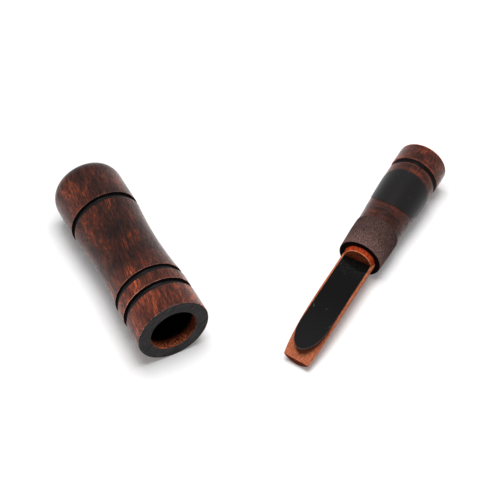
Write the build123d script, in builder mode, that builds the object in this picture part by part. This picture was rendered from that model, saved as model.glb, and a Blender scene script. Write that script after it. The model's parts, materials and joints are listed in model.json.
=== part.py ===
"""A turned wooden reed call lying on a table in its two halves.

The barrel is a waisted tube. The insert carries a tone board, a reed and the wedge that clamps the
reed's tail. Both halves lie on the table (z = 0) with their axes almost level. Sizes are millimetres
and angles are degrees.
"""
import os
from math import asin, atan2, cos, degrees, radians, sin

from build123d import *

# Where the two halves lie on the table, seen from above
barrel_x, barrel_y = -29.16, -43.6  # centre of the barrel's insert end
barrel_heading = 117.7  # from the insert end to the mouth end
insert_x, insert_y = 41.54, -3.8  # centre of the tenon's end
insert_heading = 240.5  # from the cap to the tip of the tone board

# Barrel, measured from its insert end
barrel_length = 83.9
barrel_diameter = 28.6
barrel_bore = 18.6
barrel_bore_edge = 0.15  # chamfer where the tenon enters
barrel_end_edge = 0.25  # broken outer edge of the insert end
mouth_round = 3.6  # outer rounding of the mouth end, across the wall
mouth_slope = 5.8  # length of that rounding along the barrel
mouth_lip = 1.2  # inner rounding of the mouth end
waist_diameter = 26.2
waist_place = 41.0
bead_groove_place = 12.1  # groove nearest the insert end
neck_groove_place = 20.0  # groove where the neck begins
mouth_groove_place = 61.4  # groove where the neck ends
groove_width = 2.9
groove_floor = 1.4
groove_depth = 1.0

# Insert body, measured back from the tenon's end
insert_length = 58.5
tenon_gap = 0.03  # radial, from the tenon's land to the barrel's bore
tenon_length = 15.0
tenon_land = 5.0  # straight stretch that seals in the barrel
tenon_lead = 0.4  # how much smaller in radius the tenon's end is
tenon_edge = 0.4  # rounded edge of the tenon's end
body_front_diameter = 17.9  # just behind the tenon
body_middle_diameter = 19.5
body_back_diameter = 20.5  # in front of the cap's groove
cap_length = 9.1
cap_diameter = 20.9
cap_edge = 0.3  # broken front edge of the cap
cap_round = 0.9  # rounded back edge of the cap
cap_groove_width = 3.0
cap_groove_floor = 1.4
cap_groove_depth = 1.0
seat_bore = 13.5  # holds the tone board and the wedge
seat_depth = 28.0
exhaust_bore = 10.0
exhaust_edge = 1.0

# Tone board, measured out from the tenon's end
seat_gap = 0.05  # radial, from the tone board and the wedge to the seat bore
board_reach = 51.95  # to the middle of its end
board_skew = 4.8  # how far out of square the end is cut, longer on the right-hand side
bed_height = 0.15  # of the reed's bed above the insert's axis
facing_start = 18.0  # where the bed begins to curve down
facing_radius = 143.0
channel_width = 5.0
channel_depth = 3.5  # below the level part of the bed
channel_end = 43.0

# Reed and wedge, measured out from the tenon's end
reed_thickness = 0.35
reed_width = 11.6
reed_reach = 49.45
reed_tail = 17.0  # length inside the seat bore
reed_tip_length = 12.4  # of the rounded tip
reed_offset = -0.12  # the reed sits a little to the left of the middle
wedge_depth = 18.0  # length inside the seat bore
wedge_reach = 1.8
wedge_edge = 1.0  # front chamfer, across the wedge
wedge_slope = 2.6  # length of that chamfer along the wedge

# Label on the insert body
label_place = 36.5  # of its widest stretch, back from the tenon's end
label_front = 12.8  # from the widest stretch to its front edge
label_back = 5.8  # from the widest stretch to its back edge
label_turn = 8.0  # from the insert's top to the label's middle, towards the right-hand side
label_wrap = 104.0  # from the label's middle to either end, round the insert
label_thickness = 0.15

# Values that follow from the sizes above
barrel_radius = barrel_diameter / 2
barrel_bore_radius = barrel_bore / 2
tenon_radius = barrel_bore_radius - tenon_gap
tenon_end_radius = tenon_radius - tenon_lead
cap_radius = cap_diameter / 2
cap_front = insert_length - cap_length
cap_groove_front = cap_front - cap_groove_width
cap_groove_slope = (cap_groove_width - cap_groove_floor) / 2
cap_groove_radius = body_back_diameter / 2 - cap_groove_depth
body_middle = (tenon_length + cap_groove_front) / 2
seat_radius = seat_bore / 2
exhaust_radius = exhaust_bore / 2
dowel_radius = seat_radius - seat_gap
reed_top = bed_height + reed_thickness
facing_centre = (facing_start, bed_height - facing_radius)
board_end = board_reach + seat_radius  # rough length before the end is cut
facing_sweep = degrees(asin((board_end - facing_start) / facing_radius))

# The insert rests on the front edge of its cap and on its tenon, at the land or at the end
cap_rest = cap_front + cap_edge
tenon_rests = ((tenon_length - tenon_land, tenon_radius), (tenon_edge, tenon_end_radius))
insert_tilt = min(atan2(cap_radius - radius, cap_rest - place) for place, radius in tenon_rests)
insert_z = cap_radius * cos(insert_tilt) - cap_rest * sin(insert_tilt)

# Planes: a section has the piece's axis as X and up as Y
up = Vector(0, 0, 1)
barrel_along = Vector(cos(radians(barrel_heading)), sin(radians(barrel_heading)), 0)
barrel_origin = Vector(barrel_x, barrel_y, barrel_radius)
barrel_section = Plane(barrel_origin, x_dir=barrel_along, z_dir=barrel_along.cross(up))
barrel_axis = Axis(barrel_origin, barrel_along)
insert_level = Vector(cos(radians(insert_heading)), sin(radians(insert_heading)), 0)
insert_left = insert_level.cross(up)
insert_along = insert_level * cos(insert_tilt) - up * sin(insert_tilt)
insert_up = insert_left.cross(insert_along)
insert_origin = Vector(insert_x, insert_y, insert_z)
insert_section = Plane(insert_origin, x_dir=insert_along, z_dir=insert_left)
insert_plan = Plane(insert_origin, x_dir=insert_along, z_dir=insert_up)
insert_axis = Axis(insert_origin, insert_along)
board_cut_facing = insert_along * cos(radians(board_skew)) + insert_left * sin(radians(board_skew))
board_cut = Plane(insert_origin + insert_along * board_reach, z_dir=board_cut_facing)
label_origin = insert_origin - insert_along * label_place


def insert_facing(turn: float) -> Vector:
    """Direction square out of the insert's axis, turned from up towards its right-hand side."""
    return insert_up * cos(radians(turn)) - insert_left * sin(radians(turn))


def insert_cross_section(place: float) -> Plane:
    """Plane across the insert at a place measured out from the tenon's end, with up as Y."""
    return Plane(insert_origin + insert_along * place, x_dir=-insert_left, z_dir=insert_along)


def body_side(rise: float) -> ThreePointArc:
    """Swelling side of the insert body from its tenon to its cap groove, raised outwards by rise."""
    return ThreePointArc(
        (-tenon_length, body_front_diameter / 2 + rise),
        (-body_middle, body_middle_diameter / 2 + rise),
        (-cap_groove_front, body_back_diameter / 2 + rise),
    )


# Barrel: a waisted tube with a rounded mouth and three turned grooves
with BuildPart() as barrel:
    with BuildSketch(barrel_section):
        with BuildLine():
            insert_end = Polyline(
                (barrel_bore_edge, barrel_bore_radius),
                (0, barrel_bore_radius + barrel_bore_edge),
                (0, barrel_radius - barrel_end_edge),
                (barrel_end_edge, barrel_radius),
                (neck_groove_place, barrel_radius),
            )
            neck = ThreePointArc(
                insert_end @ 1, (waist_place, waist_diameter / 2), (mouth_groove_place, barrel_radius)
            )
            mouth_centre = (barrel_length - mouth_slope, barrel_radius - mouth_round)
            mouth = EllipticalCenterArc(mouth_centre, mouth_slope, mouth_round, 0, arc_size=90)
            Line(neck @ 1, mouth @ 1)
            rim = Line(mouth @ 0, (barrel_length, barrel_bore_radius + mouth_lip))
            lip = RadiusArc(rim @ 1, (barrel_length - mouth_lip, barrel_bore_radius), mouth_lip)
            Line(lip @ 1, insert_end @ 0)
        make_face()
        with Locations(
            (bead_groove_place, barrel_radius),
            (neck_groove_place, barrel_radius),
            (mouth_groove_place, barrel_radius),
        ):
            Polygon(
                (-groove_width / 2, groove_depth),
                (-groove_width / 2, 0),
                (-groove_floor / 2, -groove_depth),
                (groove_floor / 2, -groove_depth),
                (groove_width / 2, 0),
                (groove_width / 2, groove_depth),
                align=None,
                mode=Mode.SUBTRACT,
            )
    revolve(axis=barrel_axis)
barrel.part.label = "barrel"

# Insert body: tenon, swelling body, groove and cap around the seat bore and the exhaust bore
with BuildPart() as insert_body:
    with BuildSketch(insert_section):
        with BuildLine():
            tenon_face = Line((0, seat_radius), (0, tenon_end_radius - tenon_edge))
            tenon_rim = RadiusArc(tenon_face @ 1, (-tenon_edge, tenon_end_radius), -tenon_edge)
            Polyline(
                tenon_rim @ 1,
                (tenon_land - tenon_length, tenon_radius),
                (-tenon_length, tenon_radius),
                (-tenon_length, body_front_diameter / 2),
            )
            side = body_side(0)
            cap = Polyline(
                side @ 1,
                (-cap_groove_front - cap_groove_slope, cap_groove_radius),
                (-cap_front + cap_groove_slope, cap_groove_radius),
                (-cap_front, cap_radius - cap_edge),
                (-cap_front - cap_edge, cap_radius),
                (cap_round - insert_length, cap_radius),
            )
            cap_rim = RadiusArc(cap @ 1, (-insert_length, cap_radius - cap_round), -cap_round)
            Polyline(
                cap_rim @ 1,
                (-insert_length, exhaust_radius + exhaust_edge),
                (exhaust_edge - insert_length, exhaust_radius),
                (-seat_depth, exhaust_radius),
                (-seat_depth, seat_radius),
                tenon_face @ 0,
            )
        make_face()
    revolve(axis=insert_axis)
insert_body.part.label = "insert_body"

# Tone board: a dowel cut away above the reed's bed, with the air channel sunk into the bed
with BuildPart() as tone_board:
    with BuildSketch(insert_cross_section(-seat_depth)):
        Circle(dowel_radius)
    extrude(amount=seat_depth + board_end)
    with BuildSketch(insert_section):
        with BuildLine():
            bed = Line((-seat_depth, bed_height), (facing_start, bed_height))
            facing = CenterArc(facing_centre, facing_radius, 90, -facing_sweep)
            Polyline(facing @ 1, (board_end, seat_bore), (-seat_depth, seat_bore), bed @ 0)
        make_face()
    extrude(amount=seat_bore, both=True, mode=Mode.SUBTRACT)
    split(bisect_by=board_cut, keep=Keep.BOTTOM)
    channel_length = channel_end + seat_depth + channel_width
    with BuildSketch(insert_plan.offset(bed_height - channel_depth)):
        with Locations((channel_end - channel_length / 2, 0)):
            SlotOverall(channel_length, channel_width)
    extrude(amount=seat_bore, mode=Mode.SUBTRACT)
tone_board.part.label = "tone_board"

# Reed: a thin flat strip that lies on the bed and stands off the facing towards its rounded tip
with BuildPart() as reed:
    with BuildSketch(insert_plan.offset(bed_height)):
        with Locations((reed_reach - reed_tip_length, reed_offset)):
            Ellipse(reed_tip_length, reed_width / 2)
            Rectangle(
                reed_reach - reed_tip_length + reed_tail, reed_width, align=(Align.MAX, Align.CENTER)
            )
    extrude(amount=reed_thickness)
reed.part.label = "reed"

# Wedge: the rest of the dowel above the reed, with a chamfered front edge
with BuildPart() as wedge_block:
    with BuildSketch(insert_cross_section(-wedge_depth)):
        Circle(dowel_radius)
        with Locations((0, reed_top)):
            Rectangle(seat_bore, seat_bore, align=(Align.CENTER, Align.MAX), mode=Mode.SUBTRACT)
    extrude(amount=wedge_depth + wedge_reach)
    front = wedge_block.faces().sort_by(insert_axis)[-1]
    crown = front.edges().filter_by(GeomType.CIRCLE)
    chamfer(crown, length=wedge_edge, length2=wedge_slope, reference=front)
wedge_block.part.label = "wedge_block"

# Label: an oval film round the insert body, made as its right-hand half and a mirror image
with BuildPart() as label:
    with BuildSketch(insert_section):
        with BuildLine():
            film_inside = body_side(0)
            film_outside = body_side(label_thickness)
            Line(film_inside @ 0, film_outside @ 0)
            Line(film_inside @ 1, film_outside @ 1)
        make_face()
    revolve(axis=insert_axis)
    half_facing = insert_facing(label_turn + label_wrap / 2)
    half_width = body_middle_diameter * sin(radians(label_wrap / 2))
    with BuildSketch(Plane(label_origin, x_dir=insert_along, z_dir=half_facing)):
        with BuildLine():
            middle = (0, -half_width / 2)
            front_edge = EllipticalCenterArc(middle, label_front, half_width, 0, arc_size=90)
            back_edge = EllipticalCenterArc(middle, label_back, half_width, 90, arc_size=90)
            Polyline(
                back_edge @ 1, (-label_back, -cap_diameter), (label_front, -cap_diameter), front_edge @ 0
            )
        make_face()
    extrude(amount=cap_diameter, mode=Mode.INTERSECT)
    label_middle = Plane(label_origin, z_dir=insert_facing(label_turn + 90))
    split(bisect_by=label_middle, keep=Keep.TOP)
    mirror(about=label_middle)
label.part.label = "label"

os.makedirs("parts", exist_ok=True)
export_step(barrel.part, "parts/barrel.step")
export_step(insert_body.part, "parts/insert_body.step")
export_step(tone_board.part, "parts/tone_board.step")
export_step(reed.part, "parts/reed.step")
export_step(wedge_block.part, "parts/wedge_block.step")
export_step(label.part, "parts/label.step")
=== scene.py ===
"""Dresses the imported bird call: two turned walnut halves, a cedar tone board, a black reed and a bare label.

Each half is built in its own millimetres, with X along its axis and Z towards its top, and is then laid in
the frame. Finishes read the same millimetres through a Mapping node.
"""
import json
import logging
from abc import ABC, abstractmethod
from dataclasses import dataclass, field
from enum import Enum, auto
from math import asin, atan2, ceil, cos, hypot, pi, radians, sin, sqrt, tau
from typing import Callable, Sequence

import bmesh
import bpy
from mathutils import Color, Matrix, Vector


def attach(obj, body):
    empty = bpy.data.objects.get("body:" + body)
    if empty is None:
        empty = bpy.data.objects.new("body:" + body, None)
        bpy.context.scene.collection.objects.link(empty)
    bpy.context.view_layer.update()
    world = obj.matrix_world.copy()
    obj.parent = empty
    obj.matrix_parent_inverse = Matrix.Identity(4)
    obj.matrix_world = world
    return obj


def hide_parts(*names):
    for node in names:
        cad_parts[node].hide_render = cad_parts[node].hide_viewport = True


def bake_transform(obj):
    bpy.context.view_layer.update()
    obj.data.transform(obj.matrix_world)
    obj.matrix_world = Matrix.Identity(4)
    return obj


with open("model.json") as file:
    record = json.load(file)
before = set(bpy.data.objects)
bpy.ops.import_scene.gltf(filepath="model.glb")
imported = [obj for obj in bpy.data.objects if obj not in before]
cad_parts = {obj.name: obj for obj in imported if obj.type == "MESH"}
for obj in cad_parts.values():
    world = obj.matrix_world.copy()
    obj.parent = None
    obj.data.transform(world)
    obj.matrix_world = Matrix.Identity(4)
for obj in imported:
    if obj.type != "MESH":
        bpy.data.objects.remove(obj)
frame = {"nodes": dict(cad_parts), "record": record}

log = logging.getLogger("bird_call")

MM = 0.001  # a millimetre in the frame's metres
TURN_STEPS = 180  # sides of a turned piece
ARC_STEP = 2.0  # longest straight piece of a curved outline, in millimetres
ARC_PIECES = 8  # fewest straight pieces of a curved outline
EDGE_STEPS = 3  # faces across a rounded edge
EDGE_ANGLE = 28.0  # least angle of an edge that is rounded, in degrees
SHADE_ANGLE = 40.0  # least angle of an edge that is shaded sharp, in degrees
FLAT_ANGLE = 0.4  # greatest angle between triangles that are merged into a flat face, in degrees
SHAPE_MERGE = 1e-4  # reach within which the points of a new shape are one, in millimetres
SOLID_MERGE = 1e-3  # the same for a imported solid
SRGB_STEPS = 255  # the brightest step of an sRGB colour
MIX_SHARE, MIX_FIRST, MIX_SECOND, MIX_RESULT = 0, 6, 7, 2  # a Mix node's sockets for colours
VECTOR, NUMBER = "NodeSocketVector", "NodeSocketFloat"  # socket types of the shared effects

Point = tuple[float, float]
Stops = tuple[Point, ...]  # places with their values, in rising order of place
Triple = tuple[float, float, float]
Value = float | Sequence[float] | bpy.types.NodeSocket

EVEN: Stops = ((0.0, 1.0), (1.0, 1.0))  # tones that leave a finish as it is
NOWHERE: Stops = ((0.0, 0.0), (1.0, 0.0))  # a share that is 0 all over
UNDRAWN: Triple = (1.0, 1.0, 1.0)  # the stretch of a grain with no direction

PORE_STRETCH: Triple = (0.35, 1.0, 1.0)  # times the streaks' own stretch
PORE_FINENESS = 1.25  # times the streaks' fineness
PORE_BAND: Point = (0.5, 0.64)
BLOTCH_STRETCH: Triple = (2.2, 1.0, 1.0)  # times the streaks' own stretch
BLOTCH_FINENESS = 0.13  # times the streaks' fineness
RING_STRETCH: Triple = (1.0, 0.045, 0.045)
SPECK_BAND: Point = (0.6, 0.72)


class Zone(Enum):
    """The part of a piece that a face belongs to, which decides its finish."""

    SKIN = auto()
    GROOVE = auto()
    FLOOR = auto()
    END = auto()
    BORE = auto()
    TENON = auto()
    # edges drawn lighter as a painted highlight
    PAINTED_HIGHLIGHT = auto()
    CAP = auto()
    BACK = auto()


class Noise(Enum):
    """The noises that finishes are drawn with.

    Each holds its number of finer layers, their strength, and how far the noise bends itself.
    """

    STREAK = (3.0, 0.6, 0.3)
    PORE = (2.0, 0.5, 0.15)
    CLOUD = (3.0, 0.6, 0.0)
    RING = (4.0, 0.65, 0.0)
    SPECK = (2.0, 0.7, 0.0)


@dataclass(frozen=True)
class Colour:
    """A colour as it looks in plain light, in sRGB steps from 0 to 255."""

    red: float
    green: float
    blue: float

    def linear(self) -> tuple[float, float, float, float]:
        """Returns the colour as a shader socket holds it."""
        shares = Color(step / SRGB_STEPS for step in (self.red, self.green, self.blue))
        return (*shares.from_srgb_to_scene_linear(), 1.0)


@dataclass(frozen=True)
class Lie:
    """How a half lies in the frame.

    Args:
        origin: The zero of the half's own axis, in metres.
        along: The way its own X points.
    """

    origin: Vector
    along: Vector

    def rotation(self) -> Matrix:
        """Returns the turn from the half's own axes to the frame's."""
        across = Vector((0, 0, 1)).cross(self.along).normalized()
        return Matrix((self.along, across, self.along.cross(across))).transposed()

    def matrix(self) -> Matrix:
        """Returns the move from the half's own millimetres to the frame's metres."""
        return Matrix.Translation(self.origin) @ self.rotation().to_4x4() @ Matrix.Scale(MM, 4)


def emptied_tree(owner: bpy.types.Material | bpy.types.World) -> bpy.types.NodeTree:
    """Switches on the nodes of a material or world and clears them.

    Args:
        owner: The material or world.

    Returns:
        Its empty node tree.
    """
    owner.use_nodes = True
    owner.node_tree.nodes.clear()
    return owner.node_tree


class NodeBench:
    """Adds nodes to one shader tree and links them."""

    def __init__(self, tree: bpy.types.NodeTree) -> None:
        """Takes the tree to work on."""
        self.tree = tree

    def add(self, kind: str, inputs: dict | None = None, **settings: object) -> bpy.types.Node:
        """Adds one node.

        Args:
            kind: The node's type name.
            inputs: Values and sockets by the name or number of the node's input.
            settings: Properties to set on the node.

        Returns:
            The new node.
        """
        node = self.tree.nodes.new(kind)
        for name, value in settings.items():
            setattr(node, name, value)
        for key, value in (inputs or {}).items():
            self.feed(node.inputs[key], value)
        return node

    def feed(self, socket: bpy.types.NodeSocket, value: Value) -> None:
        """Gives an input its value.

        Args:
            socket: The input.
            value: A socket to link to it, or a plain value to set on it.
        """
        if isinstance(value, bpy.types.NodeSocket):
            self.tree.links.new(value, socket)
        else:
            socket.default_value = value

    def group(self, effect: "SharedEffect", **inputs: Value) -> bpy.types.NodeOutputs:
        """Returns the outputs of a shared effect that is placed with these inputs."""
        return self.add("ShaderNodeGroup", inputs, node_tree=effect.tree()).outputs

    def scaled(self, vector: Value, factors: Value) -> bpy.types.NodeSocket:
        """Returns a vector times three factors."""
        return self.add("ShaderNodeVectorMath", {0: vector, 1: factors}, operation="MULTIPLY").outputs[0]

    def math(self, operation: str, *values: Value) -> bpy.types.NodeSocket:
        """Returns one arithmetic step on two or three values."""
        return self.add("ShaderNodeMath", dict(enumerate(values)), operation=operation).outputs[0]

    def noise(self, vector: Value, scale: Value, kind: Noise) -> bpy.types.NodeSocket:
        """Adds a noise texture.

        Args:
            vector: Where it is read.
            scale: Its cells per unit.
            kind: Which noise it is.

        Returns:
            Its value.
        """
        shape = dict(zip(("Detail", "Roughness", "Distortion"), kind.value))
        return self.add("ShaderNodeTexNoise", {"Vector": vector, "Scale": scale, **shape}).outputs[0]

    def step(self, value: Value, band: Point) -> bpy.types.NodeSocket:
        """Returns a soft change from 0 at a band's first value to 1 at its second."""
        inputs = {"Value": value, "From Min": band[0], "From Max": band[1]}
        return self.add("ShaderNodeMapRange", inputs, interpolation_type="SMOOTHSTEP").outputs[0]

    def ramp(self, value: Value, stops: Stops) -> bpy.types.NodeSocket:
        """Draws a smooth curve through stops.

        Args:
            value: Where the curve is read.
            stops: The curve's places and values.

        Returns:
            The curve's value as a grey colour.
        """
        first, last = stops[0][0], stops[-1][0]
        share = self.add("ShaderNodeMapRange", {"Value": value, "From Min": first, "From Max": last})
        node = self.add("ShaderNodeValToRGB", {0: share.outputs[0]})
        node.color_ramp.interpolation = "EASE"
        elements = node.color_ramp.elements
        for number, (place, level) in enumerate(stops):
            spot = (place - first) / (last - first)
            stop = elements[number] if number < len(elements) else elements.new(spot)
            stop.position = spot
            stop.color = (level, level, level, 1.0)
        return node.outputs[0]

    def mix(self, share: Value, first: Value, second: Value, blend: str = "MIX") -> bpy.types.NodeSocket:
        """Mixes two colours.

        Args:
            share: How much of the second colour.
            first: The colour at a share of 0.
            second: The colour at a share of 1.
            blend: Blender's name for the way of mixing.

        Returns:
            The mixed colour.
        """
        inputs = {MIX_SHARE: share, MIX_FIRST: first, MIX_SECOND: second}
        return self.add("ShaderNodeMix", inputs, data_type="RGBA", blend_type=blend).outputs[MIX_RESULT]

    def shaded(self, colour: Value, value: Value, stops: Stops) -> bpy.types.NodeSocket:
        """Returns a colour times a smooth curve through stops, which is read at a value."""
        return self.mix(1.0, colour, self.ramp(value, stops), "MULTIPLY")

    def bump(self, height: Value, strength: float, depth: float) -> bpy.types.NodeSocket:
        """Returns the normal of a surface with that height, of the given depth in millimetres."""
        inputs = {"Height": height, "Strength": strength, "Distance": depth * MM}
        return self.add("ShaderNodeBump", inputs).outputs[0]

    def shown(self) -> bpy.types.NodeSocket:
        """Tells the rays that show a surface from those that only light another.

        Returns:
            1 for a ray from the camera, through glass or off a glossy surface, and 0 for the rest.
        """
        rays = self.add("ShaderNodeLightPath").outputs
        seen = self.math("MAXIMUM", rays["Is Camera Ray"], rays["Is Transmission Ray"])
        return self.math("MAXIMUM", seen, rays["Is Glossy Ray"])


class GroupBench(NodeBench):
    """A new node group, with its own inputs and outputs at hand."""

    def __init__(self, name: str, inputs: dict[str, str], outputs: Sequence[str]) -> None:
        """Starts a node group.

        Args:
            name: The group's name.
            inputs: Socket types by input name.
            outputs: Names of its value outputs.
        """
        super().__init__(bpy.data.node_groups.new(name, "ShaderNodeTree"))
        for label, kind in inputs.items():
            self.tree.interface.new_socket(name=label, in_out="INPUT", socket_type=kind)
        for label in outputs:
            self.tree.interface.new_socket(name=label, in_out="OUTPUT", socket_type=NUMBER)
        self.given = self.add("NodeGroupInput").outputs
        self.made = self.add("NodeGroupOutput").inputs


def build_grain(name: str) -> bpy.types.NodeTree:
    """Builds the wood grain: streaks, pores and blotches drawn out along X.

    Args:
        name: The group's name.

    Returns:
        The node group.
    """
    inputs = {"Vector": VECTOR, "Stretch": VECTOR, "Fineness": NUMBER}
    bench = GroupBench(name, inputs, ("Streak", "Pore", "Blotch"))
    drawn = bench.scaled(bench.given["Vector"], bench.given["Stretch"])
    fine = bench.given["Fineness"]
    finer = bench.math("MULTIPLY", fine, PORE_FINENESS)
    broader = bench.math("MULTIPLY", fine, BLOTCH_FINENESS)
    pores = bench.noise(bench.scaled(drawn, PORE_STRETCH), finer, Noise.PORE)
    bench.feed(bench.made["Streak"], bench.noise(drawn, fine, Noise.STREAK))
    bench.feed(bench.made["Pore"], bench.step(pores, PORE_BAND))
    bench.feed(bench.made["Blotch"], bench.noise(bench.scaled(drawn, BLOTCH_STRETCH), broader, Noise.CLOUD))
    return bench.tree


def build_lathe(name: str) -> bpy.types.NodeTree:
    """Builds the rings that a turning tool leaves round X.

    Args:
        name: The group's name.

    Returns:
        The node group.
    """
    bench = GroupBench(name, {"Vector": VECTOR, "Rings": NUMBER}, ("Ring",))
    drawn = bench.scaled(bench.given["Vector"], RING_STRETCH)
    bench.feed(bench.made["Ring"], bench.noise(drawn, bench.given["Rings"], Noise.RING))
    return bench.tree


def build_specks(name: str) -> bpy.types.NodeTree:
    """Builds fine separate specks.

    Args:
        name: The group's name.

    Returns:
        The node group.
    """
    bench = GroupBench(name, {"Vector": VECTOR, "Fineness": NUMBER}, ("Speck",))
    speckle = bench.noise(bench.given["Vector"], bench.given["Fineness"], Noise.SPECK)
    bench.feed(bench.made["Speck"], bench.step(speckle, SPECK_BAND))
    return bench.tree


class SharedEffect(Enum):
    """The shader node groups that several finishes share."""

    GRAIN = "wood_grain"
    LATHE = "lathe_marks"
    SPECKS = "fine_specks"

    def tree(self) -> bpy.types.NodeTree:
        """Returns the effect's node group, built at its first use."""
        return bpy.data.node_groups.get(self.value) or EFFECT_BUILDERS[self](self.value)


EFFECT_BUILDERS: dict[SharedEffect, Callable[[str], bpy.types.NodeTree]] = {
    SharedEffect.GRAIN: build_grain,
    SharedEffect.LATHE: build_lathe,
    SharedEffect.SPECKS: build_specks,
}


class MaterialBench(NodeBench):
    """A new material with its Principled shader and a half's own millimetres as texture coordinates."""

    def __init__(self, name: str, lie: Lie) -> None:
        """Starts a material.

        Args:
            name: The material's name.
            lie: How the piece that wears it lies.
        """
        self.material = bpy.data.materials.new(name)
        super().__init__(emptied_tree(self.material))
        self.shader = self.add("ShaderNodeBsdfPrincipled")
        self.add("ShaderNodeOutputMaterial", {"Surface": self.shader.outputs[0]})
        placing = {
            "Vector": self.add("ShaderNodeTexCoord").outputs["Object"],
            "Location": lie.origin,
            "Rotation": lie.rotation().to_euler(),
            "Scale": (MM, MM, MM),
        }
        self.place = self.add("ShaderNodeMapping", placing, vector_type="TEXTURE").outputs[0]
        self.along, self.across = self.add("ShaderNodeSeparateXYZ", {0: self.place}).outputs[:2]

    def rotated(self, axis: str, turn: float) -> bpy.types.NodeSocket:
        """Returns the half's own millimetres turned round one of its axes, by so many degrees."""
        inputs = {"Vector": self.place, "Angle": radians(turn)}
        return self.add("ShaderNodeVectorRotate", inputs, rotation_type=axis).outputs[0]

    def dress(self, **inputs: Value) -> None:
        """Feeds the shader's inputs, named with underscores for spaces."""
        for name, value in inputs.items():
            self.feed(self.shader.inputs[name.replace("_", " ")], value)


@dataclass(frozen=True)
class Finish(ABC):
    """What one zone of a piece is dressed with."""

    name: str

    def material(self, lie: Lie) -> bpy.types.Material:
        """Makes the finish's material.

        Args:
            lie: How the piece that wears it lies.

        Returns:
            The new material.
        """
        bench = MaterialBench(self.name, lie)
        self.lay_on(bench)
        return bench.material

    @abstractmethod
    def lay_on(self, bench: MaterialBench) -> None:
        """Adds the finish's nodes to a new material."""


@dataclass(frozen=True)
class StainedWalnut(Finish):
    """Dark stained walnut under a smooth varnish."""

    tones: Stops  # places along the axis with how light the wood is there
    sides: Stops  # places across the axis with how light the wood is drawn there, a painted sheen towards the outlines
    deep: Colour = Colour(38, 19, 15)
    body: Colour = Colour(76, 34, 23)
    streak: Colour = Colour(134, 58, 28)
    stretch: Triple = (0.16, 1.0, 1.0)
    fineness: float = 2.1
    lean: float = 0.0  # of the grain from the axis, in degrees
    rings: float = 0.0  # share of the lathe's rings in the grain
    ring_fineness: float = 1.5
    body_band: Point = (0.3, 0.6)  # of the grain, from the deep colour to the body's
    streak_band: Point = (0.46, 0.7)  # of the grain, from the body's colour to the streaks'
    patch_band: Point = (0.42, 0.66)  # of the blotches, from no streaks to all of them
    pore_share: float = 0.75  # of the deep colour in a pore
    clouds: Stops = ((0.34, 0.5), (0.5, 1.0), (0.66, 1.5))  # blotches with how light the wood is there
    relief: float = 0.2  # depth of the grain, in millimetres
    relief_strength: float = 1.0
    roughness: float = 0.34
    shine: float = 0.09
    varnish_band: Point = (1.6, 0.0)  # of the pores, from no varnish to all of it
    varnish_roughness: float = 0.2
    varnish_ior: float = 1.1

    def lay_on(self, bench: MaterialBench) -> None:
        """Adds the walnut's nodes to a new material.

        Args:
            bench: The material's bench.
        """
        place = bench.rotated("Z_AXIS", self.lean)
        grain = bench.group(SharedEffect.GRAIN, Vector=place, Stretch=self.stretch, Fineness=self.fineness)
        lathe = bench.group(SharedEffect.LATHE, Vector=bench.place, Rings=self.ring_fineness)
        lines = bench.mix(self.rings, grain["Streak"], lathe["Ring"])
        base = bench.mix(bench.step(lines, self.body_band), self.deep.linear(), self.body.linear())
        patch = bench.step(grain["Blotch"], self.patch_band)
        bright = bench.math("MULTIPLY", bench.step(lines, self.streak_band), patch)
        warm = bench.mix(bright, base, self.streak.linear())
        pores = bench.math("MULTIPLY", grain["Pore"], self.pore_share)
        fibred = bench.mix(pores, warm, self.deep.linear())
        clouded = bench.shaded(fibred, grain["Blotch"], self.clouds)
        toned = bench.shaded(clouded, bench.along, self.tones)
        height = bench.math("SUBTRACT", lines, pores)
        bench.dress(
            Base_Color=bench.shaded(toned, bench.across, self.sides),
            Normal=bench.bump(height, self.relief_strength, self.relief),
            Roughness=self.roughness,
            Specular_IOR_Level=self.shine,
            Coat_Weight=bench.step(grain["Pore"], self.varnish_band),
            Coat_Roughness=self.varnish_roughness,
            Coat_IOR=self.varnish_ior,
        )


@dataclass(frozen=True)
class BlackPaint(Finish):
    """Black stain brushed on the wood, with the end grain faintly showing."""

    paint: Colour
    worn: Colour
    roughness: float
    shine: float
    turn: float = 0.0  # of the end grain round the axis, in degrees
    stretch: Triple = (1.0, 0.14, 1.0)
    fineness: float = 1.6
    worn_band: Point = (0.4, 0.62)  # of the grain, from the paint's colour to the worn one
    relief: float = 0.08  # depth of the grain, in millimetres
    relief_strength: float = 0.5

    def lay_on(self, bench: MaterialBench) -> None:
        """Adds the paint's nodes to a new material.

        Args:
            bench: The material's bench.
        """
        place = bench.rotated("X_AXIS", self.turn)
        grain = bench.group(SharedEffect.GRAIN, Vector=place, Stretch=self.stretch, Fineness=self.fineness)
        lines = bench.step(grain["Streak"], self.worn_band)
        bench.dress(
            Base_Color=bench.mix(lines, self.paint.linear(), self.worn.linear()),
            Normal=bench.bump(grain["Streak"], self.relief_strength, self.relief),
            Roughness=self.roughness,
            Specular_IOR_Level=self.shine,
        )


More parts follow.
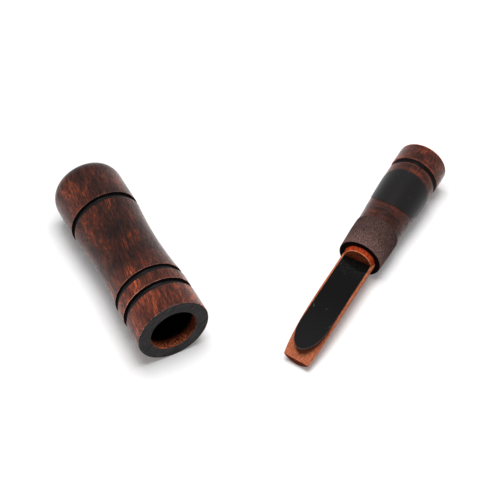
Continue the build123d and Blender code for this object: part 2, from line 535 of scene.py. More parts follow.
@dataclass(frozen=True)
class BareWood(Finish):
    """Sanded wood with no varnish."""

    body: Colour
    streak: Colour
    speck: Colour
    stretch: Triple = (0.1, 1.0, 1.0)
    fineness: float = 2.2
    specks: float = 2.4
    roughness: float = 0.65
    shine: float = 0.02
    tones: Stops = EVEN  # places along the axis with how light the wood is drawn there, which paints light and shade on the bore and a highlight on the wedge
    sides: Stops = EVEN  # places across the axis with painted shade, how much darker the wood is drawn there
    ragged: float = 0.0  # how unevenly the tones change, in millimetres
    streak_band: Point = (0.35, 0.65)  # of the grain, from the body's colour to the streaks'
    relief: float = 0.08  # depth of the grain, in millimetres
    relief_strength: float = 0.4

    def lay_on(self, bench: MaterialBench) -> None:
        """Adds the wood's nodes to a new material.

        Args:
            bench: The material's bench.
        """
        place = bench.place
        grain = bench.group(SharedEffect.GRAIN, Vector=place, Stretch=self.stretch, Fineness=self.fineness)
        specks = bench.group(SharedEffect.SPECKS, Vector=place, Fineness=self.specks)
        lines = bench.step(grain["Streak"], self.streak_band)
        warm = bench.mix(lines, self.body.linear(), self.streak.linear())
        dotted = bench.mix(specks["Speck"], warm, self.speck.linear())
        uneven = bench.math("MULTIPLY_ADD", grain["Streak"], self.ragged, bench.along)
        toned = bench.shaded(dotted, uneven, self.tones)
        bench.dress(
            Base_Color=bench.shaded(toned, bench.across, self.sides),
            Normal=bench.bump(grain["Streak"], self.relief_strength, self.relief),
            Roughness=self.roughness,
            Specular_IOR_Level=self.shine,
        )


@dataclass(frozen=True)
class SatinFilm(Finish):
    """Black plastic film with a soft sheen and a little dust."""

    film: Colour
    dust: Colour
    roughness: float
    shine: float
    tones: Stops = EVEN  # places along the axis with how light the film is drawn there, which paints light on the reed towards its tip
    drift: Stops = NOWHERE  # places along the axis with how thick fine dust lies there
    speck_fineness: float = 0.9
    powder_fineness: float = 2.0
    haze_fineness: float = 0.3
    dust_band: Point = (0.56, 0.68)  # of the haze, from no specks to all of them
    haze_share: float = 0.06  # of the haze in the roughness

    def lay_on(self, bench: MaterialBench) -> None:
        """Adds the film's nodes to a new material.

        Args:
            bench: The material's bench.
        """
        specks = bench.group(SharedEffect.SPECKS, Vector=bench.place, Fineness=self.speck_fineness)
        powder = bench.group(SharedEffect.SPECKS, Vector=bench.place, Fineness=self.powder_fineness)
        haze = bench.noise(bench.place, self.haze_fineness, Noise.CLOUD)
        scattered = bench.math("MULTIPLY", specks["Speck"], bench.step(haze, self.dust_band))
        drifted = bench.math("MULTIPLY", powder["Speck"], bench.ramp(bench.along, self.drift))
        dusty = bench.math("MAXIMUM", scattered, drifted)
        toned = bench.shaded(self.film.linear(), bench.along, self.tones)
        bench.dress(
            Base_Color=bench.mix(dusty, toned, self.dust.linear()),
            Roughness=bench.math("MULTIPLY_ADD", haze, self.haze_share, self.roughness),
            Specular_IOR_Level=self.shine,
        )


def mount(name: str) -> tuple[Vector, Vector, float]:
    """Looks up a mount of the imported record.

    Args:
        name: The mount's name.

    Returns:
        Its place in metres, its axis and its length in millimetres.
    """
    found = next(row for row in frame["record"]["mounts"] if row["name"] == name)
    return Vector(found["pos_m"]), Vector(found["axis"]).normalized(), found["dims"]["length_mm"]


def arc(centre: Point, radii: Point, start: float, end: float) -> list[Point]:
    """Works out the points of a round stretch of an outline.

    Args:
        centre: The arc's centre.
        radii: Its radius along the axis and across it.
        start: The angle of its first point, in radians.
        end: The angle of its last point.

    Returns:
        Points from start to end.
    """
    count = max(ARC_PIECES, ceil(abs(end - start) * max(radii) / ARC_STEP))
    angles = [start + (end - start) * step / count for step in range(count + 1)]
    return [(centre[0] + radii[0] * cos(angle), centre[1] + radii[1] * sin(angle)) for angle in angles]


def arc_through(first: Point, middle: Point, last: Point) -> list[Point]:
    """Works out the points of the arc that passes through three points.

    Args:
        first: The arc's first point.
        middle: A point on its way.
        last: Its last point.

    Returns:
        Points from first to last.
    """
    (ax, ay), (bx, by), (cx, cy) = first, middle, last
    scale = 2 * (ax * (by - cy) + bx * (cy - ay) + cx * (ay - by))
    squares = [x * x + y * y for x, y in (first, middle, last)]
    x = (squares[0] * (by - cy) + squares[1] * (cy - ay) + squares[2] * (ay - by)) / scale
    y = (squares[0] * (cx - bx) + squares[1] * (ax - cx) + squares[2] * (bx - ax)) / scale
    radius = hypot(ax - x, ay - y)
    return arc((x, y), (radius, radius), atan2(ay - y, ax - x), atan2(cy - y, cx - x))


def turned(outline: Sequence[Point]) -> bmesh.types.BMesh:
    """Spins a closed outline round the X axis.

    Args:
        outline: Places along the axis with their radii.

    Returns:
        A closed shell with its faces outwards.
    """
    shape = bmesh.new()
    rim = [shape.verts.new((place, 0.0, radius)) for place, radius in outline]
    edges = [shape.edges.new(ends) for ends in zip(rim, rim[1:] + rim[:1])]
    bmesh.ops.spin(
        shape, geom=rim + edges, cent=(0, 0, 0), axis=(1, 0, 0), angle=tau, steps=TURN_STEPS, use_merge=True
    )
    bmesh.ops.remove_doubles(shape, verts=shape.verts, dist=SHAPE_MERGE)
    bmesh.ops.recalc_face_normals(shape, faces=shape.faces)
    return shape


def film_on(
    columns: int, rows: int, place: Callable[[float, float], Vector], thickness: float
) -> bmesh.types.BMesh:
    """Lays a thin film on a surface.

    Args:
        columns: Cells along the film.
        rows: Cells across it.
        place: Gives the point of the surface for two shares from -1 to 1.
        thickness: How far the film stands up from the surface.

    Returns:
        A closed shell with its faces outwards.
    """
    shape = bmesh.new()
    bmesh.ops.create_grid(shape, x_segments=columns, y_segments=rows, size=1.0)
    for vertex in shape.verts:
        vertex.co = place(vertex.co.x, vertex.co.y)
    bmesh.ops.remove_doubles(shape, verts=shape.verts, dist=SHAPE_MERGE)
    bmesh.ops.recalc_face_normals(shape, faces=shape.faces)
    top = max(shape.faces, key=lambda face: face.calc_center_median().z)
    if top.normal.z > 0:
        bmesh.ops.reverse_faces(shape, faces=shape.faces)
    bmesh.ops.solidify(shape, geom=shape.faces[:], thickness=thickness)
    return shape


def solid_of(node: str, lie: Lie) -> bmesh.types.BMesh:
    """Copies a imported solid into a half's own millimetres, with its triangles merged into flat faces.

    Args:
        node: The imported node's name.
        lie: How the half lies.

    Returns:
        The merged copy.
    """
    shape = bmesh.new()
    shape.from_mesh(frame["nodes"][node].data)
    shape.transform(lie.matrix().inverted())
    bmesh.ops.remove_doubles(shape, verts=shape.verts, dist=SOLID_MERGE)
    bmesh.ops.dissolve_limit(
        shape, angle_limit=radians(FLAT_ANGLE), verts=shape.verts, edges=shape.edges,
        use_dissolve_boundaries=False,
    )
    return shape


def round_edges(shape: bmesh.types.BMesh, width: float) -> None:
    """Rounds the sharp edges of a shape.

    Args:
        shape: The shape, in millimetres.
        width: How far the rounding reaches.
    """
    sharp = [edge for edge in shape.edges if edge.calc_face_angle(0.0) > radians(EDGE_ANGLE)]
    bmesh.ops.bevel(
        shape, geom=sharp, offset=width, offset_type="OFFSET", affect="EDGES", segments=EDGE_STEPS,
        profile=0.5, material=-1, clamp_overlap=True,
    )


def piece_from(
    shape: bmesh.types.BMesh,
    name: str,
    lie: Lie,
    finishes: dict[Zone, Finish],
    zone_of: Callable[[bmesh.types.BMFace], Zone],
) -> bpy.types.Object:
    """Turns a shape into a dressed piece of the scene.

    Args:
        shape: The shape in the half's own millimetres; it is used up.
        name: The piece's name.
        lie: How the half lies.
        finishes: The finish of each zone.
        zone_of: Says which zone a face is in.

    Returns:
        The new object, smooth but for its sharp edges.
    """
    zones = list(finishes)
    shape.normal_update()
    for face in shape.faces:
        face.material_index = zones.index(zone_of(face))
    shape.transform(lie.matrix())
    mesh = bpy.data.meshes.new(name)
    shape.to_mesh(mesh)
    shape.free()
    for finish in finishes.values():
        mesh.materials.append(finish.material(lie))
    mesh.shade_smooth()
    mesh.set_sharp_from_angle(angle=radians(SHADE_ANGLE))
    piece = bpy.data.objects.new(name, mesh)
    bpy.context.scene.collection.objects.link(piece)
    piece.modifiers.new("even_normals", "WEIGHTED_NORMAL").keep_sharp = True
    return piece


@dataclass
class Barrel:
    """The waisted tube that the insert pushes into, measured from its insert end in millimetres."""

    length: float = 83.9
    radius: float = 14.3
    bore: float = 9.3  # as a radius
    bore_edge: float = 0.15
    end_edge: float = 0.25
    mouth_round: Point = (5.8, 3.6)  # along the axis and across it
    mouth_lip: float = 1.2
    waist: Point = (41.0, 13.1)  # its place and radius
    bead_groove: float = 12.1
    neck_groove: float = 20.0
    mouth_groove: float = 61.4
    groove_width: float = 2.9
    groove_floor: float = 1.4
    groove_depth: float = 1.0
    neck_rise: float = 0.04  # from the neck's first and last point to the grooves beside them
    rim: float = 0.2
    end_facing: float = 0.7  # least outward part of a normal on the black end face
    floor_facing: float = 0.3  # greatest part of a normal along the axis on a groove's floor
    tones: Stops = (
        (0.0, 1.45), (4.0, 1.85), (16.0, 1.75), (25.0, 1.0), (32.0, 0.52), (43.0, 0.54), (58.0, 0.82),
        (74.0, 0.88), (83.0, 0.5),
    )
    # painted sheen: the walnut drawn lighter towards its left and right outlines
    sides: Stops = ((-13.0, 2.3), (-9.0, 1.15), (-3.0, 0.83), (3.0, 0.83), (7.0, 1.5), (14.0, 2.0))
    # the bore's painted light and shade: a lit band just inside the insert end, near black deeper in, lighter
    # again towards the mouth, and darker on one side
    bore_painted_light_and_shade: Stops = ((1.5, 1.5), (3.6, 1.0), (6.4, 0.0), (52.0, 0.0), (74.0, 0.3), (84.0, 0.6))
    bore_painted_side_shade: Stops = ((-8.5, 0.5), (-3.0, 1.0))
    lie: Lie = field(init=False)

    def __post_init__(self) -> None:
        """Reads from the frame how the barrel lies."""
        middle, out, length = mount("barrel_bore")
        self.lie = Lie(middle + out * (self.bore_edge + length / 2) * MM, -out)

    def groove(self, place: float) -> list[Point]:
        """Works out the outline of a groove.

        Args:
            place: The groove's middle.

        Returns:
            Points from the insert end's side to the mouth's.
        """
        floor = self.radius - self.groove_depth
        return [
            (place - self.groove_width / 2, self.radius),
            (place - self.groove_floor / 2, floor),
            (place + self.groove_floor / 2, floor),
            (place + self.groove_width / 2, self.radius),
        ]

    def outline(self) -> list[Point]:
        """Works out the closed outline that is spun.

        Returns:
            Places along the axis with their radii.
        """
        neck = arc_through((self.neck_groove, self.radius), self.waist, (self.mouth_groove, self.radius))
        start = self.neck_groove + self.groove_width / 2
        end = self.mouth_groove - self.groove_width / 2
        neck = [point for point in neck if start < point[0] < end]
        slope, drop = self.mouth_round
        mouth = arc((self.length - slope, self.radius - drop), self.mouth_round, pi / 2, 0)
        lip_radii = (self.mouth_lip, self.mouth_lip)
        lip = arc((self.length - self.mouth_lip, self.bore + self.mouth_lip), lip_radii, 0, -pi / 2)
        return [
            (self.bore_edge, self.bore),
            (0.0, self.bore + self.bore_edge),
            (0.0, self.radius - self.end_edge),
            (self.end_edge, self.radius),
            *self.groove(self.bead_groove),
            *self.groove(self.neck_groove)[:-1],
            (start, neck[0][1] + self.neck_rise),
            *neck,
            (end, neck[-1][1] + self.neck_rise),
            *self.groove(self.mouth_groove)[1:],
            *mouth,
            *lip,
        ]

    def zone(self, face: bmesh.types.BMFace) -> Zone:
        """Finds the zone of one of the barrel's faces.

        Args:
            face: The face, in the barrel's own millimetres.

        Returns:
            Its zone.
        """
        middle = face.calc_center_median()
        radius = hypot(middle.y, middle.z)
        if radius < self.bore + self.bore_edge / 2:
            return Zone.BORE
        if face.normal.x < -self.end_facing and middle.x < self.end_edge / 2:
            return Zone.END
        # the insert end's rounded edge: its upper half takes a painted highlight, and its lower half the black
        # end paint as painted shadow
        if middle.x < self.end_edge and radius > self.radius - self.end_edge:
            return Zone.PAINTED_HIGHLIGHT if middle.z > 0 else Zone.END
        for place in (self.bead_groove, self.neck_groove, self.mouth_groove):
            inside = self.groove_width / 2 - abs(middle.x - place)
            if inside > self.rim and radius < self.radius - self.rim:
                return Zone.FLOOR if abs(face.normal.x) < self.floor_facing else Zone.GROOVE
            # the rim on each groove's mouth side takes a painted highlight
            if abs(inside) < self.rim and face.normal.x < 0:
                return Zone.PAINTED_HIGHLIGHT
        return Zone.SKIN

    def finishes(self) -> dict[Zone, Finish]:
        """Lists the barrel's finishes.

        Returns:
            The finish of each zone.
        """
        return {
            Zone.SKIN: StainedWalnut("barrel_walnut", self.tones, self.sides, lean=9.0),
            Zone.GROOVE: BlackPaint(
                "barrel_groove_black", paint=Colour(4, 3, 3), worn=Colour(12, 9, 9),
                roughness=0.6, shine=0.02,
            ),
            Zone.END: BlackPaint(
                "barrel_end_black", paint=Colour(42, 40, 41), worn=Colour(66, 63, 64),
                roughness=0.7, shine=0.1, turn=34.0,
            ),
            # the bore's wood, drawn lighter and darker along and across as painted light and shade
            Zone.BORE: BareWood(
                "barrel_bore_painted_light_and_shade",
                body=Colour(58, 24, 14), streak=Colour(196, 108, 74), speck=Colour(48, 18, 11),
                stretch=UNDRAWN, fineness=1.6, specks=1.5, ragged=3.0,
                tones=self.bore_painted_light_and_shade, sides=self.bore_painted_side_shade,
            ),
            # painted highlight: lighter, greyer walnut on the rims
            Zone.PAINTED_HIGHLIGHT: StainedWalnut(
                "barrel_rim_painted_highlight", self.tones, self.sides,
                deep=Colour(82, 56, 49), body=Colour(134, 88, 75), streak=Colour(158, 90, 66),
            ),
            Zone.FLOOR: BlackPaint(
                "barrel_groove_gloss", paint=Colour(5, 4, 4), worn=Colour(16, 12, 12),
                roughness=0.3, shine=0.13,
            ),
        }

    def build(self) -> bpy.types.Object:
        """Builds the dressed barrel, riding on its body.

        Returns:
            The piece.
        """
        shape = turned(self.outline())
        round_edges(shape, self.rim)
        piece = piece_from(shape, "barrel_turning", self.lie, self.finishes(), self.zone)
        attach(piece, "barrel")
        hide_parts("barrel")
        return piece


@dataclass
class Insert:
    """The turned insert and its label, measured back from the tenon's end in millimetres."""

    length: float = 58.5
    tenon_length: float = 15.0
    tenon_land: float = 5.0
    tenon_radius: float = 9.27
    tenon_lead: float = 0.4
    tenon_edge: float = 0.4
    body_front: float = 8.95
    body_middle: float = 9.75
    body_back: float = 10.25
    cap_length: float = 9.1
    cap_radius: float = 10.45
    cap_edge: float = 0.3
    cap_round: float = 0.9
    groove_width: float = 3.0
    groove_floor: float = 1.4
    groove_depth: float = 1.0
    seat: float = 6.75  # as a radius
    seat_depth: float = 28.0
    exhaust: float = 5.0  # as a radius
    exhaust_edge: float = 1.0
    rim: float = 0.14
    back_facing: float = 0.95  # greatest backward part of a normal on the cap's rounding
    label_place: float = 36.5
    label_front: float = 12.8
    label_back: float = 5.8
    label_turn: float = 8.0  # of its middle from the top, in degrees
    label_wrap: float = 104.0  # to each side of its middle, in degrees
    label_thickness: float = 0.15
    label_columns: int = 96
    label_rows: int = 24
    tones: Stops = ((-58.5, 1.2), (-49.0, 1.1), (-30.0, 0.95), (-15.0, 0.8))
    # painted sheen: the walnut drawn lighter towards the outlines, most strongly along one of them
    sides: Stops = ((-9.5, 3.2), (-6.5, 1.6), (-3.0, 0.92), (1.0, 0.83), (5.0, 1.2), (10.0, 1.3))
    tenon_tones: Stops = ((-15.0, 0.75), (-9.0, 0.9), (-1.0, 1.6))
    lie: Lie = field(init=False)
    cap_front: float = field(init=False)
    groove_front: float = field(init=False)
    groove_slope: float = field(init=False)
    groove_middle: float = field(init=False)

    def __post_init__(self) -> None:
        """Reads from the frame how the insert lies, and works out where its groove and cap begin."""
        middle, out, land = mount("insert_tenon")
        self.lie = Lie(middle + out * (self.tenon_length - land / 2) * MM, out)
        self.cap_front = self.length - self.cap_length
        self.groove_front = self.cap_front - self.groove_width
        self.groove_slope = (self.groove_width - self.groove_floor) / 2
        self.groove_middle = self.cap_front - self.groove_width / 2

    def side(self) -> list[Point]:
        """Works out the swelling side of the body.

        Returns:
            Points from the tenon to the cap's groove.
        """
        front = (-self.tenon_length, self.body_front)
        middle = (-(self.tenon_length + self.groove_front) / 2, self.body_middle)
        back = (-self.groove_front, self.body_back)
        return arc_through(front, middle, back)

    def body_radius(self, place: float) -> float:
        """Works out how thick the body is.

        Args:
            place: A place along the axis.

        Returns:
            The body's radius there.
        """
        side = self.side()
        for (ahead, near), (behind, far) in zip(side, side[1:]):
            if behind <= place <= ahead:
                return near + (far - near) * (ahead - place) / (ahead - behind)
        return self.body_back

    def outline(self) -> list[Point]:
        """Works out the closed outline that is spun.

        Returns:
            Places along the axis with their radii.
        """
        end_radius = self.tenon_radius - self.tenon_lead
        edge = (self.tenon_edge, self.tenon_edge)
        tenon_rim = arc((-self.tenon_edge, end_radius - self.tenon_edge), edge, 0, pi / 2)
        floor = self.body_back - self.groove_depth
        rounding = (self.cap_round, self.cap_round)
        cap_rim = arc((self.cap_round - self.length, self.cap_radius - self.cap_round), rounding, pi / 2, pi)
        return [
            (0.0, self.seat),
            *tenon_rim,
            (self.tenon_land - self.tenon_length, self.tenon_radius),
            (-self.tenon_length, self.tenon_radius),
            *self.side(),
            (-self.groove_front - self.groove_slope, floor),
            (-self.groove_middle, floor),
            (self.groove_slope - self.cap_front, floor),
            (-self.cap_front, self.cap_radius - self.cap_edge),
            (-self.cap_front - self.cap_edge, self.cap_radius),
            *cap_rim,
            (-self.length, self.exhaust + self.exhaust_edge),
            (self.exhaust_edge - self.length, self.exhaust),
            (-self.seat_depth, self.exhaust),
            (-self.seat_depth, self.seat),
        ]

    def zone(self, face: bmesh.types.BMFace) -> Zone:
        """Finds the zone of one of the insert's faces.

        Args:
            face: The face, in the insert's own millimetres.

        Returns:
            Its zone.
        """
        middle = face.calc_center_median()
        radius = hypot(middle.y, middle.z)
        if radius < self.seat + self.rim and middle.x < -self.rim:
            return Zone.BORE
        if middle.x > -self.rim:
            return Zone.END
        if middle.x > -self.tenon_length:
            return Zone.TENON
        if -self.cap_front < middle.x < -self.groove_front and radius < self.body_back - self.rim:
            worn = -self.groove_middle < middle.x < -self.groove_front - self.groove_slope
            return Zone.FLOOR if worn else Zone.GROOVE
        # the cap's front edge takes a painted highlight
        if abs(middle.x + self.cap_front + self.cap_edge / 2) < self.cap_edge:
            return Zone.PAINTED_HIGHLIGHT
        rounded = face.normal.x > -self.back_facing and radius > self.cap_radius / 2
        if middle.x < self.cap_round - self.length and rounded:
            return Zone.BACK
        return Zone.CAP if middle.x < -self.cap_front else Zone.SKIN

    def finishes(self) -> dict[Zone, Finish]:
        """Lists the insert body's finishes.

        Returns:
            The finish of each zone.
        """
        return {
            Zone.SKIN: StainedWalnut(
                "insert_walnut", self.tones, self.sides,
                deep=Colour(45, 22, 18), body=Colour(68, 32, 23), streak=Colour(106, 48, 27),
                stretch=(1.3, 1.0, 1.0), fineness=0.9, rings=0.75,
            ),
            Zone.GROOVE: BlackPaint(
                "insert_groove_black", paint=Colour(5, 4, 4), worn=Colour(16, 12, 12),
                roughness=0.45, shine=0.08,
            ),
            Zone.END: BlackPaint(
                "insert_end_black", paint=Colour(6, 3, 3), worn=Colour(20, 11, 10),
                roughness=0.8, shine=0.02,
            ),
            Zone.BORE: BareWood(
                "insert_bore_wood",
                body=Colour(110, 58, 36), streak=Colour(150, 84, 52), speck=Colour(90, 46, 30),
            ),
            Zone.TENON: BareWood(
                "insert_tenon_wood",
                body=Colour(44, 32, 31), streak=Colour(100, 78, 74), speck=Colour(104, 46, 33),
                stretch=UNDRAWN, fineness=2.5, specks=1.9, roughness=0.75, tones=self.tenon_tones,
            ),
            # painted highlight: lighter walnut on the cap's front edge
            Zone.PAINTED_HIGHLIGHT: StainedWalnut(
                "insert_rim_painted_highlight", self.tones, self.sides,
                deep=Colour(84, 44, 34), body=Colour(128, 66, 48), streak=Colour(150, 78, 52),
                stretch=UNDRAWN,
            ),
            Zone.CAP: StainedWalnut(
                "insert_cap_walnut", self.tones, self.sides,
                deep=Colour(48, 24, 19), body=Colour(78, 36, 25), streak=Colour(116, 52, 29),
                stretch=(0.5, 1.0, 1.0), fineness=1.6, rings=0.15,
            ),
            Zone.BACK: BareWood(
                "insert_back_wood",
                body=Colour(140, 58, 34), streak=Colour(164, 72, 42), speck=Colour(110, 44, 26),
                stretch=UNDRAWN,
            ),
            Zone.FLOOR: StainedWalnut(
                "insert_groove_walnut", self.tones, self.sides,
                deep=Colour(30, 15, 12), body=Colour(96, 48, 37), streak=Colour(150, 78, 58),
                stretch=(1.3, 1.0, 1.0), fineness=0.9, rings=0.3,
            ),
        }

    def build(self) -> bpy.types.Object:
        """Builds the dressed insert body, riding on its body.

        Returns:
            The piece.
        """
        shape = turned(self.outline())
        round_edges(shape, self.rim)
        piece = piece_from(shape, "insert_turning", self.lie, self.finishes(), self.zone)
        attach(piece, "insert")
        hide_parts("insert_body")
        return piece

    def wrapped(self, across: float, along: float) -> Vector:
        """Places a point of the flat label on the insert.

        Args:
            across: From -1 at the left end to 1 at the right end.
            along: From -1 at the back edge to 1 at the front edge.

        Returns:
            The point on the insert's body.
        """
        reach = sin(abs(across) * pi / 2)
        wrap = radians(self.label_wrap)
        turn = wrap / 2 + asin(max(-1.0, min(1.0, (2 * reach - 1) * sin(wrap / 2))))
        share = sqrt(max(0.0, 1 - reach * reach))
        middle = (self.label_front - self.label_back) / 2 * share
        place = middle + along * (self.label_front + self.label_back) / 2 * share - self.label_place
        angle = radians(self.label_turn) + (turn if across > 0 else -turn)
        radius = self.body_radius(place)
        return Vector((place, radius * sin(angle), radius * cos(angle)))

    def label_zone(self, face: bmesh.types.BMFace) -> Zone:
        """Returns SKIN, the one zone of the label, for any of its faces."""
        return Zone.SKIN

    def build_label(self) -> bpy.types.Object:
        """Builds the bare label, riding on the insert.

        Returns:
            The piece.
        """
        shape = film_on(self.label_columns, self.label_rows, self.wrapped, self.label_thickness)
        black = SatinFilm(
            "label_black", film=Colour(22, 20, 21), dust=Colour(58, 56, 55),
            roughness=0.3, shine=0.12,
        )
        piece = piece_from(shape, "label_film", self.lie, {Zone.SKIN: black}, self.label_zone)
        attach(piece, "insert")
        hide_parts("label")
        return piece


@dataclass
class ToneBoard:
    """The cedar tone board, the wedge over it and the reed between, measured out from the tenon's end."""

    lie: Lie
    bed: float = 0.15  # height of the board's flat over the axis
    facing_start: float = 18.0
    reed_thickness: float = 0.35
    reed_half_width: float = 5.8
    reed_reach: float = 49.45
    reed_tail: float = 17.0
    reed_tip: float = 12.4
    reed_offset: float = -0.12
    reed_columns: int = 120
    reed_rows: int = 24
    # painted light: the reed drawn lighter towards its tip
    reed_painted_light: Stops = ((18.0, 1.0), (49.0, 2.6))
    reed_drift: Stops = ((3.0, 0.0), (6.5, 1.0), (11.0, 0.0))
    # painted shade: the board drawn darker down its side beyond the bed
    board_painted_side_shade: Stops = ((3.5, 1.0), (6.2, 0.82))
    # painted highlight: the crown drawn lighter at its front edge
    wedge_painted_highlight: Stops = ((1.5, 1.0), (1.75, 1.7))
    rim: float = 0.12
    wedge_rim: float = 0.18
    end_facing: float = 0.9  # least part of a normal along the board on its end
    highlight_facing: Point = (0.42, 0.95)  # the same, least and greatest, on the wedge's edge with the painted highlight
    highlight_rise: float = 0.2  # least upward part of a normal on the wedge's edge with the painted highlight
    flat_rise: float = 0.5  # least upright part of a normal on the reed's flat sides

    def end_or_skin(self, face: bmesh.types.BMFace) -> Zone:
        """Returns END for the face that looks out along the board, and SKIN for the rest."""
        return Zone.END if face.normal.x > self.end_facing else Zone.SKIN

    def wedge_zone(self, face: bmesh.types.BMFace) -> Zone:
        """Returns the zone of one of the wedge's faces, with a painted highlight on the upward edge over its
        end.
        """
        # faces of the rounded edge over the wedge's end that look up and forward take a painted highlight
        worn = face.normal.z > self.highlight_rise and self.highlight_facing[0] < face.normal.x < self.highlight_facing[1]
        return Zone.PAINTED_HIGHLIGHT if worn else self.end_or_skin(face)

    def edge_or_skin(self, face: bmesh.types.BMFace) -> Zone:
        """Returns the painted highlight's zone for a face of the reed's cut edge, and SKIN for its flat sides.
        """
        return Zone.PAINTED_HIGHLIGHT if abs(face.normal.z) < self.flat_rise else Zone.SKIN

    def build_board(self) -> bpy.types.Object:
        """Builds the tone board, riding on its body.

        Returns:
            The piece.
        """
        shape = solid_of("tone_board", self.lie)
        round_edges(shape, self.rim)
        finishes = {
            Zone.SKIN: BareWood(
                "tone_board_cedar",
                body=Colour(154, 80, 54), streak=Colour(196, 118, 84), speck=Colour(132, 66, 44),
                stretch=(0.3, 1.0, 1.0), fineness=2.6, sides=self.board_painted_side_shade,
            ),
            Zone.END: BareWood(
                "tone_board_end_grain",
                body=Colour(70, 28, 17), streak=Colour(112, 52, 34), speck=Colour(58, 24, 15),
                stretch=(1.0, 0.15, 1.0),
            ),
        }
        piece = piece_from(shape, "tone_board_cedar", self.lie, finishes, self.end_or_skin)
        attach(piece, "tone_board")
        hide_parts("tone_board")
        return piece

    def build_wedge(self) -> bpy.types.Object:
        """Builds the wedge block, riding on its body.

        Returns:
            The piece.
        """
        shape = solid_of("wedge_block", self.lie)
        round_edges(shape, self.wedge_rim)
        finishes = {
            Zone.SKIN: BareWood(
                "wedge_cedar",
                body=Colour(132, 40, 18), streak=Colour(196, 80, 42), speck=Colour(112, 34, 17),
                tones=self.wedge_painted_highlight,
            ),
            Zone.END: BareWood(
                "wedge_end_grain",
                body=Colour(86, 38, 23), streak=Colour(132, 64, 38), speck=Colour(176, 92, 60),
                stretch=(1.0, 1.0, 0.6), fineness=1.9, specks=1.6,
            ),
            # painted highlight on the edge over the wedge's end
            Zone.PAINTED_HIGHLIGHT: BareWood(
                "wedge_edge_painted_highlight",
                body=Colour(196, 112, 74), streak=Colour(232, 168, 132), speck=Colour(170, 84, 52),
                stretch=UNDRAWN,
            ),
        }
        piece = piece_from(shape, "wedge_cedar", self.lie, finishes, self.wedge_zone)
        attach(piece, "wedge_block")
        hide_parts("wedge_block")
        return piece

    def reed_point(self, along: float, across: float) -> Vector:
        """Places a point of the reed's underside.

        Args:
            along: From -1 at the tail to 1 at the tip.
            across: From -1 at the left edge to 1 at the right edge.

        Returns:
            The point on the bed's level.
        """
        shoulder = self.reed_reach - self.reed_tip
        if along < 0:
            place = shoulder + along * (shoulder + self.reed_tail)
            half = self.reed_half_width
        else:
            place = shoulder + self.reed_tip * sin(along * pi / 2)
            half = self.reed_half_width * cos(along * pi / 2)
        return Vector((place, across * half + self.reed_offset, self.bed))

    def build_reed(self) -> bpy.types.Object:
        """Builds the reed, lying flat on the board's bed.

        Returns:
            The piece.
        """
        shape = film_on(self.reed_columns, self.reed_rows, self.reed_point, self.reed_thickness)
        finishes = {
            Zone.SKIN: SatinFilm(
                "reed_black", film=Colour(13, 12, 12), dust=Colour(96, 94, 92),
                roughness=0.03, shine=0.065, tones=self.reed_painted_light, drift=self.reed_drift,
            ),
            # painted highlight: the cut edge drawn light grey
            Zone.PAINTED_HIGHLIGHT: SatinFilm(
                "reed_edge_painted_highlight", film=Colour(96, 95, 97), dust=Colour(120, 118, 117),
                roughness=0.4, shine=0.1,
            ),
        }
        piece = piece_from(shape, "reed_strip", self.lie, finishes, self.edge_or_skin)
        matrix = self.lie.matrix()
        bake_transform(piece)
        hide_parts("reed")
        return piece


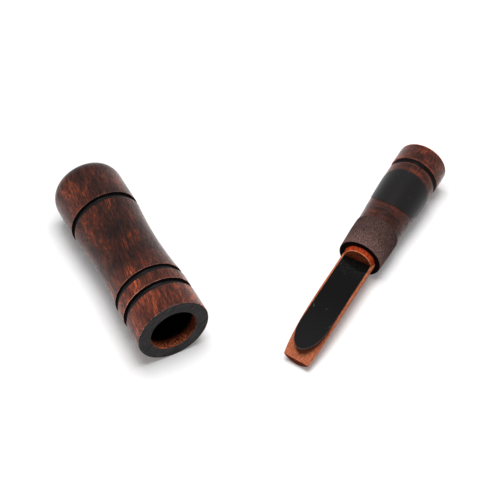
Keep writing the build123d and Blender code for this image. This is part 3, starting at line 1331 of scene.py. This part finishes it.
@dataclass
class Studio:
    """The pale floor, the soft light and the camera, in metres and degrees."""

    target: Triple = (-0.00116, 0.0085, 0.0)
    distance: float = 0.55
    elevation: float = 48.7
    lens: float = 98.7
    sensor: float = 36.0
    floor_size: float = 6.0
    floor_white: float = 0.86
    floor_lift: float = 0.15  # the floor's own glow round the call
    glow_start: float = 0.17  # how far from the middle the glow begins to grow
    glow_end: float = 0.5  # how far from the middle the floor is all white
    sky: float = 0.21  # the room's light on the call
    softbox_place: Triple = (0.0, 0.03, 0.6)
    softbox_size: float = 0.36
    softbox_power: float = 3.9

    def floor_material(self) -> bpy.types.Material:
        """Makes the floor's finish, which shows white to the camera and keeps its shadows.

        Returns:
            The new material.
        """
        material = bpy.data.materials.new("floor_white")
        bench = NodeBench(emptied_tree(material))
        diffuse = bench.add("ShaderNodeBsdfDiffuse", {"Color": (self.floor_white,) * 3 + (1.0,)})
        place = bench.add("ShaderNodeTexCoord").outputs["Object"]
        away = bench.add("ShaderNodeVectorMath", {0: place}, operation="LENGTH").outputs["Value"]
        share = bench.step(away, (self.glow_start, self.glow_end))
        lift = bench.math("MULTIPLY_ADD", share, 1.0 - self.floor_lift, self.floor_lift)
        glow = bench.add("ShaderNodeEmission", {"Strength": bench.math("MULTIPLY", bench.shown(), lift)})
        both = bench.add("ShaderNodeAddShader", {0: diffuse.outputs[0], 1: glow.outputs[0]})
        bench.add("ShaderNodeOutputMaterial", {"Surface": both.outputs[0]})
        return material

    def build_floor(self) -> None:
        """Lays the pale floor."""
        shape = bmesh.new()
        bmesh.ops.create_grid(shape, x_segments=1, y_segments=1, size=self.floor_size / 2)
        mesh = bpy.data.meshes.new("floor")
        shape.to_mesh(mesh)
        shape.free()
        mesh.materials.append(self.floor_material())
        floor = bpy.data.objects.new("floor", mesh)
        bpy.context.scene.collection.objects.link(floor)

    def build_room(self) -> None:
        """Surrounds the table with a room that shows white and lights the call evenly."""
        world = bpy.data.worlds.new("studio")
        bench = NodeBench(emptied_tree(world))
        strength = bench.math("MULTIPLY_ADD", bench.shown(), 1.0 - self.sky, self.sky)
        background = bench.add("ShaderNodeBackground", {"Color": (1.0,) * 4, "Strength": strength})
        bench.add("ShaderNodeOutputWorld", {"Surface": background.outputs[0]})
        bpy.context.scene.world = world

    def build_softbox(self) -> None:
        """Hangs the softbox over the table."""
        lamp = bpy.data.lights.new("softbox", "AREA")
        lamp.shape = "SQUARE"
        lamp.size = self.softbox_size
        lamp.energy = self.softbox_power
        softbox = bpy.data.objects.new("softbox", lamp)
        softbox.location = self.softbox_place
        back = Vector(self.softbox_place) - Vector(self.target)
        softbox.rotation_euler = back.to_track_quat("Z", "Y").to_euler()
        bpy.context.scene.collection.objects.link(softbox)

    def build_camera(self) -> None:
        """Sets the camera at the photograph's viewing angle."""
        data = bpy.data.cameras.new("camera")
        data.lens = self.lens
        data.sensor_width = self.sensor
        camera = bpy.data.objects.new("camera", data)
        rise = radians(self.elevation)
        back = Vector((0.0, -cos(rise), sin(rise)))
        camera.location = Vector(self.target) + back * self.distance
        camera.rotation_euler = (pi / 2 - rise, 0.0, 0.0)
        bpy.context.scene.collection.objects.link(camera)
        bpy.context.scene.camera = camera


def main() -> None:
    logging.basicConfig(level=logging.INFO, format="%(name)s: %(message)s")
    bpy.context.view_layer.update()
    barrel = Barrel()
    insert = Insert()
    board = ToneBoard(insert.lie)
    builders = (
        barrel.build, insert.build, insert.build_label,
        board.build_board, board.build_wedge, board.build_reed,
    )
    for build in builders:
        piece = build()
        log.info("%s has %d faces", piece.name, len(piece.data.polygons))
    studio = Studio()
    studio.build_floor()
    studio.build_room()
    studio.build_softbox()
    studio.build_camera()
    bpy.context.scene.view_settings.view_transform = "Standard"


if __name__ == "__main__":
    main()
